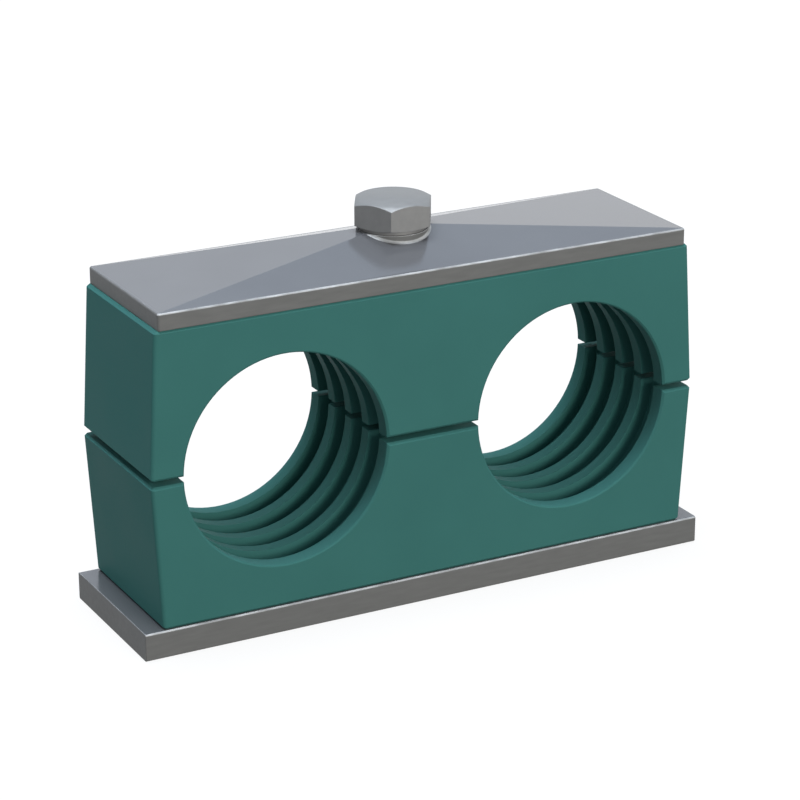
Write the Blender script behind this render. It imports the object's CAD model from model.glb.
from math import cos, pi, radians, sin

import bmesh
import bpy
from mathutils import Matrix, Vector


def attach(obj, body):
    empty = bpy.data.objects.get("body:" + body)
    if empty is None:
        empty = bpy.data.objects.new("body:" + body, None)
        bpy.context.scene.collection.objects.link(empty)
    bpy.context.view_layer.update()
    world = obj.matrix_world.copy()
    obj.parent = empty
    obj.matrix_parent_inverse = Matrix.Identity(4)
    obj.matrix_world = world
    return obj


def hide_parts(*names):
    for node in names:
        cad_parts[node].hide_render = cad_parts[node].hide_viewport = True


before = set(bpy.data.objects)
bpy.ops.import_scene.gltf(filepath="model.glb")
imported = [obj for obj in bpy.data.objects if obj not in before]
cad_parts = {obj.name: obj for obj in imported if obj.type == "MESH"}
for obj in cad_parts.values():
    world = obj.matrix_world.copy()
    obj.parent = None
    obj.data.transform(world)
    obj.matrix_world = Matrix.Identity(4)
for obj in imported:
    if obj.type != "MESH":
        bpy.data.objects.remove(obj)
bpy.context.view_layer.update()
MM = 0.001


# ---------------------------------------------------------------- short hands for node trees

# A noise pattern seldom leaves this stretch of its range
NOISE_LOW = 0.3
NOISE_HIGH = 0.7


def feed(tree, socket, value):
    """Links a node's output to a socket, or sets the socket to a plain value."""
    if isinstance(value, bpy.types.NodeSocket):
        tree.links.new(value, socket)
    else:
        socket.default_value = value


class Formula:
    """Short hand for chains of Math nodes in one node tree."""

    def __init__(self, tree):
        self.tree = tree

    def __call__(self, operation, *values):
        node = self.tree.nodes.new("ShaderNodeMath")
        node.operation = operation
        for socket, value in zip(node.inputs, values):
            feed(self.tree, socket, value)
        return node.outputs[0]


def split_axes(tree, vector):
    """Outputs X, Y and Z of a vector."""
    node = tree.nodes.new("ShaderNodeSeparateXYZ")
    tree.links.new(vector, node.inputs[0])
    return node.outputs


def ranged(tree, source, low, high, from_low=NOISE_LOW, from_high=NOISE_HIGH):
    """Turns from_low to from_high of the source into low to high, and stays level outside them."""
    node = tree.nodes.new("ShaderNodeMapRange")
    node.inputs["From Min"].default_value = from_low
    node.inputs["From Max"].default_value = from_high
    node.inputs["To Min"].default_value = low
    node.inputs["To Max"].default_value = high
    tree.links.new(source, node.inputs["Value"])
    return node.outputs[0]


def mixed(tree, factor, colour_a, colour_b):
    """Mix of two colours, each given as three numbers or as a node's output."""
    node = tree.nodes.new("ShaderNodeMix")
    node.data_type = "RGBA"
    for name, colour in (("A", colour_a), ("B", colour_b)):
        feed(tree, node.inputs[name], (*colour, 1) if isinstance(colour, tuple) else colour)
    tree.links.new(factor, node.inputs["Factor"])
    return node.outputs["Result"]


def seen_or_mirrored(tree):
    """1 on camera, glossy and transmission rays, 0 on the rays that carry light."""
    calc = Formula(tree)
    path = tree.nodes.new("ShaderNodeLightPath").outputs
    seen = calc("MAXIMUM", path["Is Camera Ray"], path["Is Glossy Ray"])
    return calc("MAXIMUM", seen, path["Is Transmission Ray"])


# ---------------------------------------------------------------- camera, lamps and floor

WARM_LIGHT = (1.0, 0.97, 0.91)
COOL_LIGHT = (0.9, 0.97, 1.06)
LAMP_TARGET = (0, 0, 0.03)


def aim(position, target, roll=0.0):
    """Placement that points an object's -Z axis from a position at a target."""
    look = (Vector(target) - Vector(position)).to_track_quat("-Z", "Y").to_matrix().to_4x4()
    return Matrix.Translation(position) @ look @ Matrix.Rotation(roll, 4, "Z")


def make_camera():
    azimuth, elevation, roll = radians(-27.87), radians(20.23), radians(-0.13)
    distance = 0.5066
    side_shift = 1.15 * MM
    middle_height = 32.6 * MM
    towards = Vector((sin(azimuth) * cos(elevation), -cos(azimuth) * cos(elevation), sin(elevation)))
    right = Vector((cos(azimuth), sin(azimuth), 0))
    target = Vector((0, 0, middle_height)) + right * side_shift
    camera = bpy.data.objects.new("camera", bpy.data.cameras.new("camera"))
    camera.data.sensor_width = 36.0
    camera.data.lens = 128.7
    camera.data.clip_start = 0.01
    camera.matrix_world = aim(target + towards * distance, target, roll)
    bpy.context.collection.objects.link(camera)
    bpy.context.scene.camera = camera


def make_lamp(name, position, size, watts, colour, mirrored=True):
    """Soft lamp that points at the clamp; one that isn't mirrored makes no highlights."""
    lamp = bpy.data.lights.new(name, "AREA")
    lamp.shape = "RECTANGLE"
    lamp.size, lamp.size_y = size
    lamp.energy = watts
    lamp.color = colour
    lamp_object = bpy.data.objects.new(name, lamp)
    lamp_object.matrix_world = aim(position, LAMP_TARGET)
    lamp_object.visible_glossy = mirrored
    bpy.context.collection.objects.link(lamp_object)


def make_world():
    """Soft light from all round, which looks white round the horizon and a little cooler overhead."""
    light_strength, seen_strength = 0.46, 1.0
    cool_from, cool_to = 0.25, 0.6
    world = bpy.data.worlds.new("studio")
    world.use_nodes = True
    tree = world.node_tree
    background = tree.nodes["Background"]
    strength = ranged(tree, seen_or_mirrored(tree), light_strength, seen_strength, 0, 1)
    direction = tree.nodes.new("ShaderNodeTexCoord").outputs["Generated"]
    height = ranged(tree, split_axes(tree, direction)["Z"], 0, 1, cool_from, cool_to)
    sky = mixed(tree, height, (1, 1, 1), (0.76, 0.87, 1))
    tree.links.new(sky, background.inputs["Color"])
    tree.links.new(strength, background.inputs["Strength"])
    bpy.context.scene.world = world


def make_floor():
    """Floor that takes the clamp's shadow, and looks white where it is seen or mirrored."""
    half = 3.0
    glow_strength = 0.86
    mesh = bpy.data.meshes.new("floor")
    corners = [(-half, -half, 0), (half, -half, 0), (half, half, 0), (-half, half, 0)]
    mesh.from_pydata(corners, [], [(0, 1, 2, 3)])
    floor = bpy.data.objects.new("floor", mesh)
    bpy.context.collection.objects.link(floor)
    material = bpy.data.materials.new("pale floor")
    material.use_nodes = True
    tree = material.node_tree
    calc = Formula(tree)
    shader = tree.nodes["Principled BSDF"]
    shader.inputs["Base Color"].default_value = (0.1, 0.1, 0.1, 1)
    shader.inputs["Roughness"].default_value = 0.9
    shader.inputs["Specular IOR Level"].default_value = 0.1
    glow = tree.nodes.new("ShaderNodeEmission")
    glow.inputs["Color"].default_value = (1, 1, 1, 1)
    add = tree.nodes.new("ShaderNodeAddShader")
    tree.links.new(calc("MULTIPLY", seen_or_mirrored(tree), glow_strength), glow.inputs["Strength"])
    tree.links.new(shader.outputs[0], add.inputs[0])
    tree.links.new(glow.outputs[0], add.inputs[1])
    tree.links.new(add.outputs[0], tree.nodes["Material Output"].inputs["Surface"])
    mesh.materials.append(material)


bpy.context.scene.view_settings.view_transform = "Standard"
make_camera()
make_world()
make_floor()
make_lamp("key", (0.1, -1.05, 0.38), size=(0.5, 0.4), watts=7.6, colour=WARM_LIGHT)
make_lamp("overhead", (-0.05, 0.0, 1.4), size=(0.44, 0.7), watts=20.4, colour=COOL_LIGHT)
make_lamp("back", (-0.05, 0.95, 0.65), size=(0.3, 0.3), watts=5.0, colour=COOL_LIGHT, mirrored=False)


# ---------------------------------------------------------------- materials

BEVEL_SAMPLES = 6


def new_material(name):
    """Material, its node tree, its shader, and the place on the piece that its patterns follow."""
    material = bpy.data.materials.new(name)
    material.use_nodes = True
    tree = material.node_tree
    place = tree.nodes.new("ShaderNodeTexCoord").outputs["Object"]
    return material, tree, tree.nodes["Principled BSDF"], place


def noise(tree, place, scale, detail, stretch=(1, 1, 1)):
    mapping = tree.nodes.new("ShaderNodeMapping")
    mapping.inputs["Scale"].default_value = stretch
    tree.links.new(place, mapping.inputs["Vector"])
    texture = tree.nodes.new("ShaderNodeTexNoise")
    texture.inputs["Scale"].default_value = scale
    texture.inputs["Detail"].default_value = detail
    tree.links.new(mapping.outputs[0], texture.inputs["Vector"])
    return texture.outputs["Fac"]


def soft_edges(tree, radius):
    """Normal that rounds off the sharp edges by this radius."""
    node = tree.nodes.new("ShaderNodeBevel")
    node.samples = BEVEL_SAMPLES
    node.inputs["Radius"].default_value = radius
    return node.outputs[0]


def bump(tree, height, distance, below):
    """Normal with a fine relief on top of the one below."""
    node = tree.nodes.new("ShaderNodeBump")
    node.inputs["Distance"].default_value = distance
    tree.links.new(height, node.inputs["Height"])
    tree.links.new(below, node.inputs["Normal"])
    return node.outputs[0]


def moulded_plastic():
    material, tree, shader, place = new_material("green polypropylene")
    edge_radius, grain_height = 0.15 * MM, 0.01 * MM
    mottle = noise(tree, place, scale=60, detail=4)
    grain = noise(tree, place, scale=2600, detail=2)
    colour = mixed(tree, ranged(tree, mottle, 0, 1), (0.042, 0.150, 0.138), (0.046, 0.162, 0.149))
    tree.links.new(colour, shader.inputs["Base Color"])
    tree.links.new(ranged(tree, mottle, 0.52, 0.62), shader.inputs["Roughness"])
    shader.inputs["Specular IOR Level"].default_value = 0.04
    normal = bump(tree, grain, grain_height, soft_edges(tree, edge_radius))
    tree.links.new(normal, shader.inputs["Normal"])
    return material


def sheet_steel(name, end_rub):
    """Smooth rolled faces, and upright cut edges with a duller, darker finish.

    The corner between them is rubbed bright here and there: on the front by its full share,
    on the ends by end_rub, and not at all on the rear.
    """
    material, tree, shader, place = new_material(name)
    calc = Formula(tree)
    edge_radius, grain_height = 0.25 * MM, 0.0012 * MM
    along_the_plate = (0.15, 1, 1)
    rounded = soft_edges(tree, edge_radius)
    normal = split_axes(tree, rounded)
    cloud = noise(tree, place, scale=40, detail=4)
    grain = noise(tree, place, scale=1400, detail=3, stretch=along_the_plate)
    patches = noise(tree, place, scale=300, detail=3)

    # Level faces and cut edges, told apart by how far the surface looks up
    rolled = ranged(tree, normal["Z"], 0, 1, 0.88, 0.94)
    face = mixed(tree, ranged(tree, cloud, 0, 1), (0.170, 0.173, 0.185), (0.188, 0.192, 0.204))
    edge = mixed(tree, ranged(tree, grain, 0, 1), (0.133, 0.134, 0.131), (0.151, 0.152, 0.149))
    plain = mixed(tree, rolled, edge, face)

    # The rubbed corner, which lies above the cut edge and below the rolled face
    above_edge = ranged(tree, normal["Z"], 0, 1, 0.12, 0.3)
    below_face = ranged(tree, normal["Z"], 1, 0, 0.9, 0.94)
    patchy = ranged(tree, patches, 0.35, 1)
    front_or_end = ranged(tree, normal["Y"], 1, end_rub, -0.3, -0.1)
    not_rear = ranged(tree, normal["Y"], 1, 0, 0.1, 0.3)
    rubbed = above_edge
    for share in (below_face, patchy, front_or_end, not_rear):
        rubbed = calc("MULTIPLY", rubbed, share)
    bright = mixed(tree, patchy, (0.42, 0.43, 0.44), (0.5, 0.51, 0.52))

    tree.links.new(mixed(tree, rubbed, plain, bright), shader.inputs["Base Color"])
    tree.links.new(ranged(tree, rolled, 0.15, 0.5, 0, 1), shader.inputs["Metallic"])
    edge_roughness = ranged(tree, rolled, 0.36, 0.0, 0, 1)
    roughness = calc("ADD", edge_roughness, ranged(tree, cloud, 0.14, 0.2))
    tree.links.new(roughness, shader.inputs["Roughness"])
    shader.inputs["Specular IOR Level"].default_value = 0.2
    tree.links.new(bump(tree, grain, grain_height, rounded), shader.inputs["Normal"])
    return material


def plated_steel():
    material, tree, shader, place = new_material("zinc-plated steel")
    edge_radius, speckle_height = 0.1 * MM, 0.003 * MM
    speckle = noise(tree, place, scale=700, detail=4)
    shader.inputs["Metallic"].default_value = 0.5
    colour = mixed(tree, ranged(tree, speckle, 0, 1), (0.192, 0.192, 0.190), (0.216, 0.216, 0.213))
    tree.links.new(colour, shader.inputs["Base Color"])
    tree.links.new(ranged(tree, speckle, 0.48, 0.56), shader.inputs["Roughness"])
    normal = bump(tree, speckle, speckle_height, soft_edges(tree, edge_radius))
    tree.links.new(normal, shader.inputs["Normal"])
    return material


PLASTIC = moulded_plastic()
WELD_STEEL = sheet_steel("bar steel", end_rub=1.0)
COVER_STEEL = sheet_steel("pressed sheet steel", end_rub=0.1)
PLATED = plated_steel()
FINISHES = {
    "lower_clamp_half": PLASTIC,
    "upper_clamp_half": PLASTIC,
    "weld_plate": WELD_STEEL,
    "cover_plate": COVER_STEEL,
}
for node, material in FINISHES.items():
    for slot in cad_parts[node].material_slots:
        slot.material = material


# ---------------------------------------------------------------- the M8 thread of bolt and bush

# The thread form; the widths are shares of the pitch
PITCH = 1.25 * MM
THREAD_DEPTH = 0.767 * MM
THREAD_RADIUS = 4.0 * MM
HALF_CREST_WIDTH = 1 / 16
FLANK_WIDTH = 5 / 16
THREAD_CLEARANCE = 0.06 * MM

# The bolt's thread, from its tip to the foot of its plain shank
TIP = 4.75 * MM
TIP_RADIUS = 3.0 * MM
THREAD_TOP = 26.75 * MM

# The bush
PLATE_TOP = 5.0 * MM
BUSH_TOP = 14.0 * MM
SPIGOT_RADIUS = 6.0 * MM
COLLAR_RADIUS = 7.0 * MM
BUSH_CHAMFER = 0.8 * MM

# How finely the threads are made
ROUND_STEPS = 64
THREAD_STEP = PITCH / 13
REACH_MARGIN = 0.1 * MM
LEAST_RADIUS = 0.001 * MM
SAME_POINT = 0.0005 * MM
SHARP_ANGLE = radians(35)


def thread_tree():
    """Cuts a right-hand helical thread into every upright wall nearer to the Z axis than Reach."""
    tree = bpy.data.node_groups.new("helical thread", "GeometryNodeTree")
    interface = tree.interface
    interface.new_socket("Geometry", in_out="INPUT", socket_type="NodeSocketGeometry")
    for name in ("Crest Radius", "Depth", "Pitch", "Low", "High", "Run-out", "Reach"):
        interface.new_socket(name, in_out="INPUT", socket_type="NodeSocketFloat")
    interface.new_socket("Material", in_out="INPUT", socket_type="NodeSocketMaterial")
    interface.new_socket("Geometry", in_out="OUTPUT", socket_type="NodeSocketGeometry")
    given = tree.nodes.new("NodeGroupInput").outputs
    result = tree.nodes.new("NodeGroupOutput")
    calc = Formula(tree)

    x, y, z = split_axes(tree, tree.nodes.new("GeometryNodeInputPosition").outputs[0])
    radius = calc("SQRT", calc("ADD", calc("MULTIPLY", x, x), calc("MULTIPLY", y, y)))
    turn = calc("DIVIDE", calc("ARCTAN2", y, x), 2 * pi)

    # How far down the flank a point is, from 0 on the crest to 1 in the root
    phase = calc("FRACT", calc("SUBTRACT", calc("DIVIDE", z, given["Pitch"]), turn))
    from_crest = calc("ABSOLUTE", calc("SUBTRACT", phase, 0.5))
    flank = calc("DIVIDE", calc("SUBTRACT", from_crest, HALF_CREST_WIDTH), FLANK_WIDTH)
    flank = calc("MINIMUM", calc("MAXIMUM", flank, 0.0), 1.0)

    # The thread fades in above Low and out below High
    rise = calc("DIVIDE", calc("SUBTRACT", z, given["Low"]), given["Run-out"])
    fall = calc("DIVIDE", calc("SUBTRACT", given["High"], z), given["Run-out"])
    fade = calc("MINIMUM", calc("MAXIMUM", calc("MINIMUM", rise, fall), 0.0), 1.0)

    cut = calc("MULTIPLY", calc("MULTIPLY", given["Depth"], flank), fade)
    wanted = calc("MINIMUM", radius, calc("SUBTRACT", given["Crest Radius"], cut))
    scale = calc("DIVIDE", wanted, calc("MAXIMUM", radius, LEAST_RADIUS))
    moved = tree.nodes.new("ShaderNodeCombineXYZ")
    tree.links.new(calc("MULTIPLY", x, scale), moved.inputs[0])
    tree.links.new(calc("MULTIPLY", y, scale), moved.inputs[1])
    tree.links.new(z, moved.inputs[2])
    put = tree.nodes.new("GeometryNodeSetPosition")
    tree.links.new(given["Geometry"], put.inputs["Geometry"])
    tree.links.new(calc("LESS_THAN", radius, given["Reach"]), put.inputs["Selection"])
    tree.links.new(moved.outputs[0], put.inputs["Position"])
    realize = tree.nodes.new("GeometryNodeRealizeInstances")
    tree.links.new(put.outputs[0], realize.inputs[0])
    finish = tree.nodes.new("GeometryNodeSetMaterial")
    tree.links.new(realize.outputs[0], finish.inputs["Geometry"])
    tree.links.new(given["Material"], finish.inputs["Material"])
    tree.links.new(finish.outputs[0], result.inputs[0])
    return tree


def turned(name, outline, closed):
    """Mesh of an outline of (radius, height) points turned round the Z axis.

    An outline that isn't closed is capped at both ends.
    """
    form = bmesh.new()
    angles = [2 * pi * i / ROUND_STEPS for i in range(ROUND_STEPS)]
    rings = [
        [form.verts.new((radius * cos(angle), radius * sin(angle), z)) for angle in angles]
        for radius, z in outline
    ]
    pairs = list(zip(rings, rings[1:]))
    if closed:
        pairs.append((rings[-1], rings[0]))
    else:
        form.faces.new(list(reversed(rings[0])))
        form.faces.new(rings[-1])
    for lower, upper in pairs:
        for i in range(ROUND_STEPS):
            j = (i + 1) % ROUND_STEPS
            form.faces.new((lower[i], lower[j], upper[j], upper[i]))
    mesh = bpy.data.meshes.new(name)
    form.to_mesh(mesh)
    form.free()
    return mesh


def thread_heights(start, end):
    """Heights from start to end, both included, about a thread step apart."""
    count = max(1, round(abs(end - start) / THREAD_STEP))
    return [start + (end - start) * i / count for i in range(count + 1)]


def threaded(name, blank_mesh, tree, crest_radius, low, high, run_out, material):
    """Plain mesh of a blank with the thread cut into its walls at the crest radius."""
    blank = bpy.data.objects.new(name + " blank", blank_mesh)
    bpy.context.collection.objects.link(blank)
    modifier = blank.modifiers.new("thread", "NODES")
    modifier.node_group = tree
    values = {
        "Crest Radius": crest_radius,
        "Depth": THREAD_DEPTH,
        "Pitch": PITCH,
        "Low": low,
        "High": high,
        "Run-out": run_out,
        "Reach": crest_radius + REACH_MARGIN,
        "Material": material,
    }
    for socket in tree.interface.items_tree:
        if socket.in_out == "INPUT" and socket.name in values:
            modifier[socket.identifier] = values[socket.name]
    graph = bpy.context.evaluated_depsgraph_get()
    mesh = bpy.data.meshes.new_from_object(blank.evaluated_get(graph), depsgraph=graph)
    mesh.name = name
    bpy.data.objects.remove(blank)
    return mesh


def smooth_faces(form):
    """Smooth faces, with the edges above the sharp angle kept sharp."""
    for face in form.faces:
        face.smooth = True
    for edge in form.edges:
        edge.smooth = len(edge.link_faces) == 2 and edge.calc_face_angle(0) < SHARP_ANGLE


def add_piece(name, form, material, body, replaced):
    bmesh.ops.recalc_face_normals(form, faces=form.faces)
    smooth_faces(form)
    mesh = bpy.data.meshes.new(name)
    form.to_mesh(mesh)
    form.free()
    mesh.materials.append(material)
    for polygon in mesh.polygons:
        polygon.material_index = 0
    piece = bpy.data.objects.new(name, mesh)
    bpy.context.collection.objects.link(piece)
    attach(piece, body)
    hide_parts(replaced)


def make_bolt(tree):
    """The bolt's head and plain shank as built, with a rolled thread below them."""
    heights = thread_heights(TIP, THREAD_TOP - THREAD_STEP)
    outline = [(min(THREAD_RADIUS, TIP_RADIUS + z - TIP), z) for z in heights]
    rod = threaded(
        "threaded rod",
        turned("rod", outline, closed=False),
        tree,
        crest_radius=THREAD_RADIUS,
        low=0.0,
        high=THREAD_TOP,
        run_out=PITCH,
        material=PLATED,
    )
    form = bmesh.new()
    form.from_mesh(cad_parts["hex_bolt"].data)
    bmesh.ops.remove_doubles(form, verts=form.verts, dist=SAME_POINT)
    cut = bmesh.ops.bisect_plane(
        form,
        geom=form.verts[:] + form.edges[:] + form.faces[:],
        plane_co=(0, 0, THREAD_TOP),
        plane_no=(0, 0, 1),
        clear_inner=True,
    )
    shank_rim = [item for item in cut["geom_cut"] if isinstance(item, bmesh.types.BMEdge)]

    # The rod's top cap makes way for a band of faces up to the cut shank: the bolt is one closed skin
    form.from_mesh(rod)
    caps = [face for face in form.faces if len(face.verts) == ROUND_STEPS]
    top_cap = max(caps, key=lambda face: face.calc_center_median().z)
    rod_rim = list(top_cap.edges)
    bmesh.ops.delete(form, geom=[top_cap], context="FACES_ONLY")
    bmesh.ops.bridge_loops(form, edges=shank_rim + rod_rim)
    add_piece("threaded_hex_bolt", form, PLATED, "bolt", "hex_bolt")


def make_bush(tree):
    """The weld plate's bush with the thread that the bolt runs in."""
    bore = THREAD_RADIUS + THREAD_CLEARANCE
    outline = [
        (SPIGOT_RADIUS, 0),
        (SPIGOT_RADIUS, PLATE_TOP),
        (COLLAR_RADIUS, PLATE_TOP),
        (COLLAR_RADIUS, BUSH_TOP - BUSH_CHAMFER),
        (COLLAR_RADIUS - BUSH_CHAMFER, BUSH_TOP),
    ]
    outline += [(bore, z) for z in thread_heights(BUSH_TOP, 0)]
    ring = threaded(
        "bush",
        turned("bush", outline, closed=True),
        tree,
        crest_radius=bore,
        low=0.0,
        high=BUSH_TOP,
        run_out=BUSH_CHAMFER,
        material=WELD_STEEL,
    )
    form = bmesh.new()
    form.from_mesh(ring)
    add_piece("tapped_bush", form, WELD_STEEL, "base", "threaded_bush")


THREAD = thread_tree()
make_bolt(THREAD)
make_bush(THREAD)
